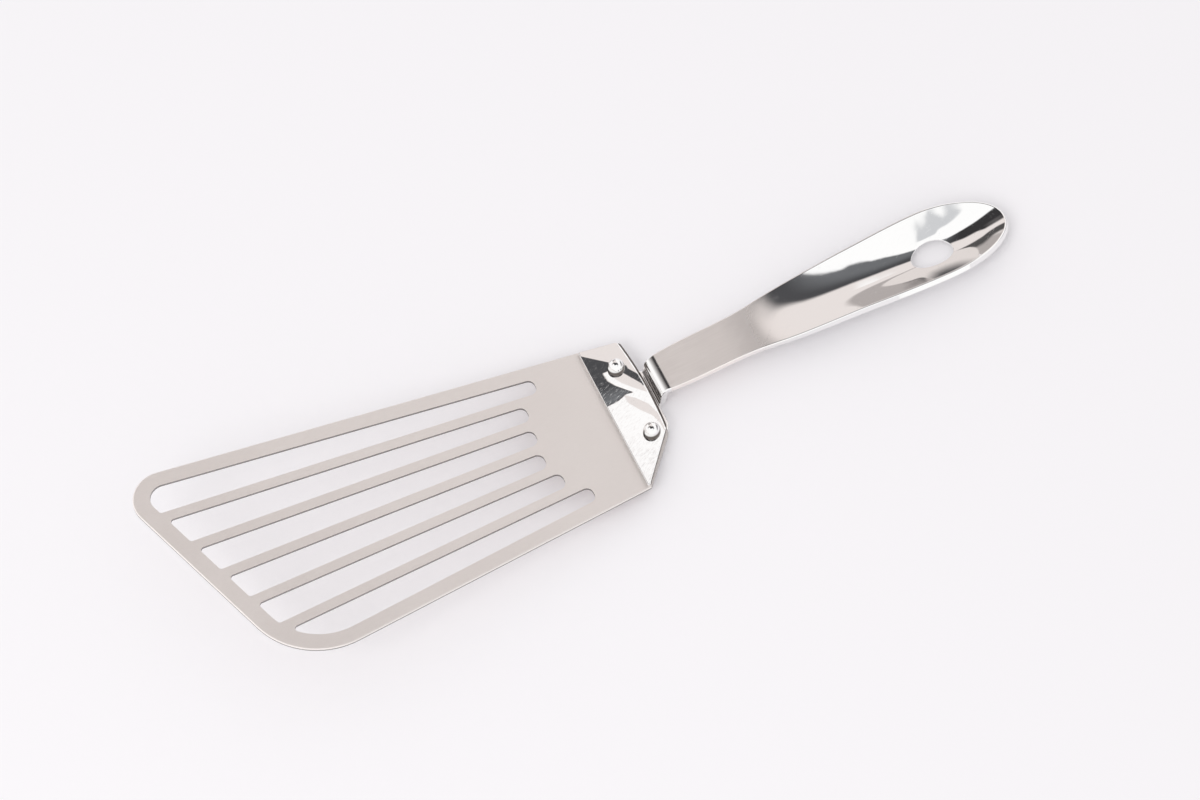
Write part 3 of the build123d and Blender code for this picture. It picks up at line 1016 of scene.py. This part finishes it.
def studio(graph):
    """Studio that the steel shows: a soft light on the near side, a dim gap overhead."""
    x, y, z = graph.split(graph.place("Generated"))
    height = graph.math("ADD", graph.math("MAXIMUM", z, LOWEST), 1.0)
    across = graph.math("DIVIDE", x, height)
    ahead = graph.math("DIVIDE", y, height)
    middle = middle_share(graph, across, ahead)
    colour = graph.mix(middle, SIDE_WHITE, far_side(graph, across, ahead))
    dark, share = dim_gap(graph, across, ahead)
    colour = graph.mix(graph.times(middle, share), colour, dark)
    beyond = graph.edge(ahead, graph.ramp(across, *NEAR_EDGE), NEAR_EDGE_SOFT)
    colour = graph.mix(beyond, near_light(graph, across, ahead), colour)
    room = graph.times(graph.ramp(across, *ROOM_ACROSS), graph.band(ahead, *ROOM_AHEAD))
    return graph.mix(room, colour, ROOM)


def make_world():
    """Studio for the steel's reflections, level light, and a plain pale backdrop."""
    world = bpy.data.worlds.new("studio")
    bpy.context.scene.world = world
    world.use_nodes = True
    graph = Graph(world.node_tree)
    graph.nodes.clear()
    output = graph.nodes.new("ShaderNodeOutputWorld")
    rays = graph.nodes.new("ShaderNodeLightPath").outputs
    mirrored = graph.math("MAXIMUM", rays["Is Glossy Ray"], rays["Is Transmission Ray"])
    colour = graph.mix(mirrored, LEVEL_LIGHT, studio(graph))
    colour = graph.mix(rays["Is Camera Ray"], colour, BACKDROP)
    light = graph.nodes.new("ShaderNodeBackground")
    graph.links.new(colour, light.inputs[0])
    graph.links.new(light.outputs[0], output.inputs[0])


def make_lamp():
    """Large soft lamp on the left, so that the shadows fall to the right."""
    data = bpy.data.lights.new("soft_lamp", "AREA")
    data.shape = "DISK"
    data.size = LAMP_SIZE
    data.energy = LAMP_ENERGY
    lamp = bpy.data.objects.new("soft_lamp", data)
    bpy.context.collection.objects.link(lamp)
    lamp.location = LAMP_PLACE
    lamp.rotation_euler = (-lamp.location).to_track_quat("-Z", "Y").to_euler()
    lamp.visible_glossy = False


make_camera()
make_floor()
make_world()
make_lamp()
finishes = {
    "blade": satin(),
    "handle": polished("polished_steel", satin_strip=True),
    # The plate's rolled rear edge gets a painted dark reflection
    "cover_plate": polished("plate_steel", scratched=True, painted_shade_edge=PLATE_PAINTED_SHADE),
    # The rivets get painted shade where the head's flank meets the plate
    "rivet_long_side": polished("rivet_steel", painted_shade_edge=RIVET_PAINTED_SHADE),
}
finishes["rivet_short_side"] = finishes["rivet_long_side"]
set_material("blade", finishes["blade"])
pieces = {"handle": build_handle(), "cover_plate": build_cover()}
for node, (reach, inset) in RIVETS.items():
    pieces[node] = build_rivet(node, reach, inset)
for node, piece in pieces.items():
    piece.data.materials.append(finishes[node])
    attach(piece, "root")
    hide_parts(node)

bpy.context.scene.view_settings.view_transform = "Standard"
